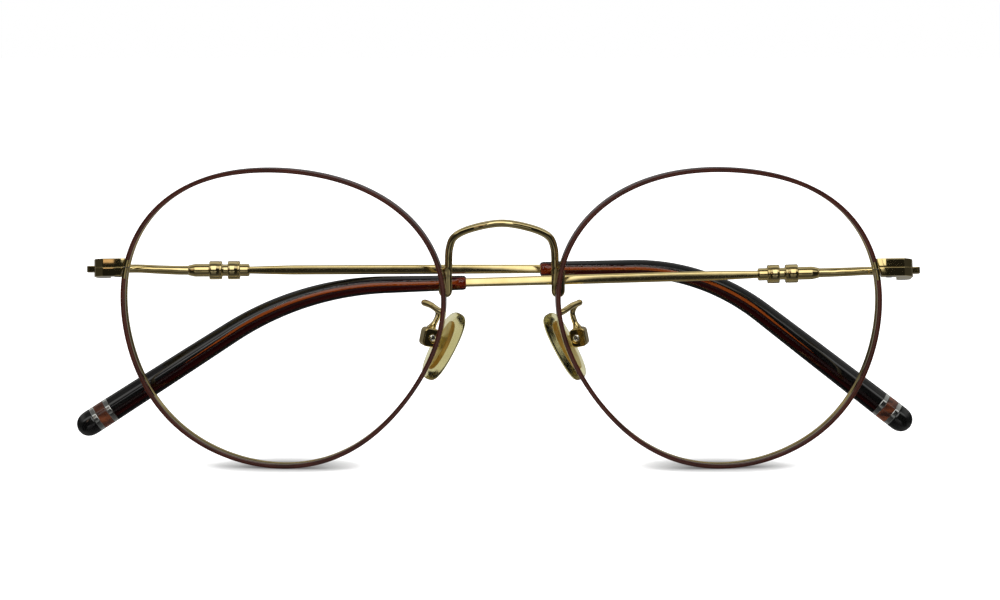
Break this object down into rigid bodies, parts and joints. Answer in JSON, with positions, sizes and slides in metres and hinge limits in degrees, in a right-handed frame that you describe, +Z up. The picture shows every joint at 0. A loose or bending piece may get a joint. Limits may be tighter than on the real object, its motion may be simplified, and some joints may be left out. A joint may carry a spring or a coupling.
{
  "type": "eyeglasses frame",
  "caption": "Round metal full-rim eyeglasses frame, folded: enamelled rims, gold wire bridge, adjustable nose pads, hinged gold temples with turned collars and bent two-tone tips.",
  "frame": {"origin": "midway between the two rims in X, within a millimetre of the middle of the bounding box, middle of the bounding box in Y, at the bottom of the rims, where the frame stands", "axes": "+X to the wearer's left (the right of the picture), +Y from the front of the rims towards the folded temples, +Z up"},
  "size_m": [0.1411, 0.0195, 0.0497],
  "materials": {
    "gold": "polished pale gold plating",
    "rim_enamel": "glossy dark burgundy enamel on the front and outer side, bare gold inside and behind",
    "screw_steel": "bright steel screw",
    "pad_clear": "clear, slightly yellow silicone over a brown metal core",
    "pad_core": "thin amber-brown metal insert seen through the clear pad",
    "acetate": "glossy two-tone acetate, black above and translucent red-brown below",
    "silver": "polished silver ring",
    "spacer_brown": "glossy translucent brown acetate",
    "cap_black": "glossy black acetate"
  },
  "bodies": {
    "front": {"bridge": "gold", "rim_right": "rim_enamel", "end_piece_right": "gold", "lock_right": "gold", "lock_screw_right": "screw_steel", "knuckles_right": "gold", "hinge_screw_right": "screw_steel", "pad_arm_right": "gold", "pad_box_right": "gold", "pad_screw_right": "screw_steel", "rim_left": "rim_enamel", "end_piece_left": "gold", "lock_left": "gold", "lock_screw_left": "screw_steel", "knuckles_left": "gold", "hinge_screw_left": "screw_steel", "pad_arm_left": "gold", "pad_box_left": "gold", "pad_screw_left": "screw_steel"},
    "temple_right": {"heel_right": "gold", "shank_right": "gold", "sleeve_right": "gold", "collar_front_right": "gold", "collar_rear_right": "gold", "temple_bar_right": "gold", "tip_right": "acetate", "ring_inner_right": "silver", "spacer_right": "spacer_brown", "ring_outer_right": "silver", "tip_cap_right": "cap_black"},
    "temple_left": {"heel_left": "gold", "shank_left": "gold", "sleeve_left": "gold", "collar_front_left": "gold", "collar_rear_left": "gold", "temple_bar_left": "gold", "tip_left": "acetate", "ring_inner_left": "silver", "spacer_left": "spacer_brown", "ring_outer_left": "silver", "tip_cap_left": "cap_black"},
    "nose_pad_right": {"nose_pad_right": "pad_clear", "pad_core_right": "pad_core"},
    "nose_pad_left": {"nose_pad_left": "pad_clear", "pad_core_left": "pad_core"}
  },
  "joints": [
    {"name": "temple_right_hinge", "type": "hinge", "parent": "front", "child": "temple_right", "pos_m": [-0.0662, 0.0017, 0.032], "axis": [-0.0077, 0.1771, 0.9842], "range_deg": [0, 90]},
    {"name": "nose_pad_right_tilt", "type": "hinge", "parent": "front", "child": "nose_pad_right", "pos_m": [-0.0117, -0.0015, 0.02105], "axis": [-0.3256, 0.9455, 0], "range_deg": [-8, 8]},
    {"name": "temple_left_hinge", "type": "hinge", "parent": "front", "child": "temple_left", "pos_m": [0.0668, 0.0017, 0.03173], "axis": [0.0236, -0.2385, -0.9709], "range_deg": [0, 90]},
    {"name": "nose_pad_left_tilt", "type": "hinge", "parent": "front", "child": "nose_pad_left", "pos_m": [0.01255, -0.0015, 0.02105], "axis": [-0.2419, -0.9703, 0], "range_deg": [-8, 8]}
  ],
  "couplings": [
    {"joint": "temple_left_hinge", "follows": "temple_right_hinge", "ratio": 1}
  ]
}
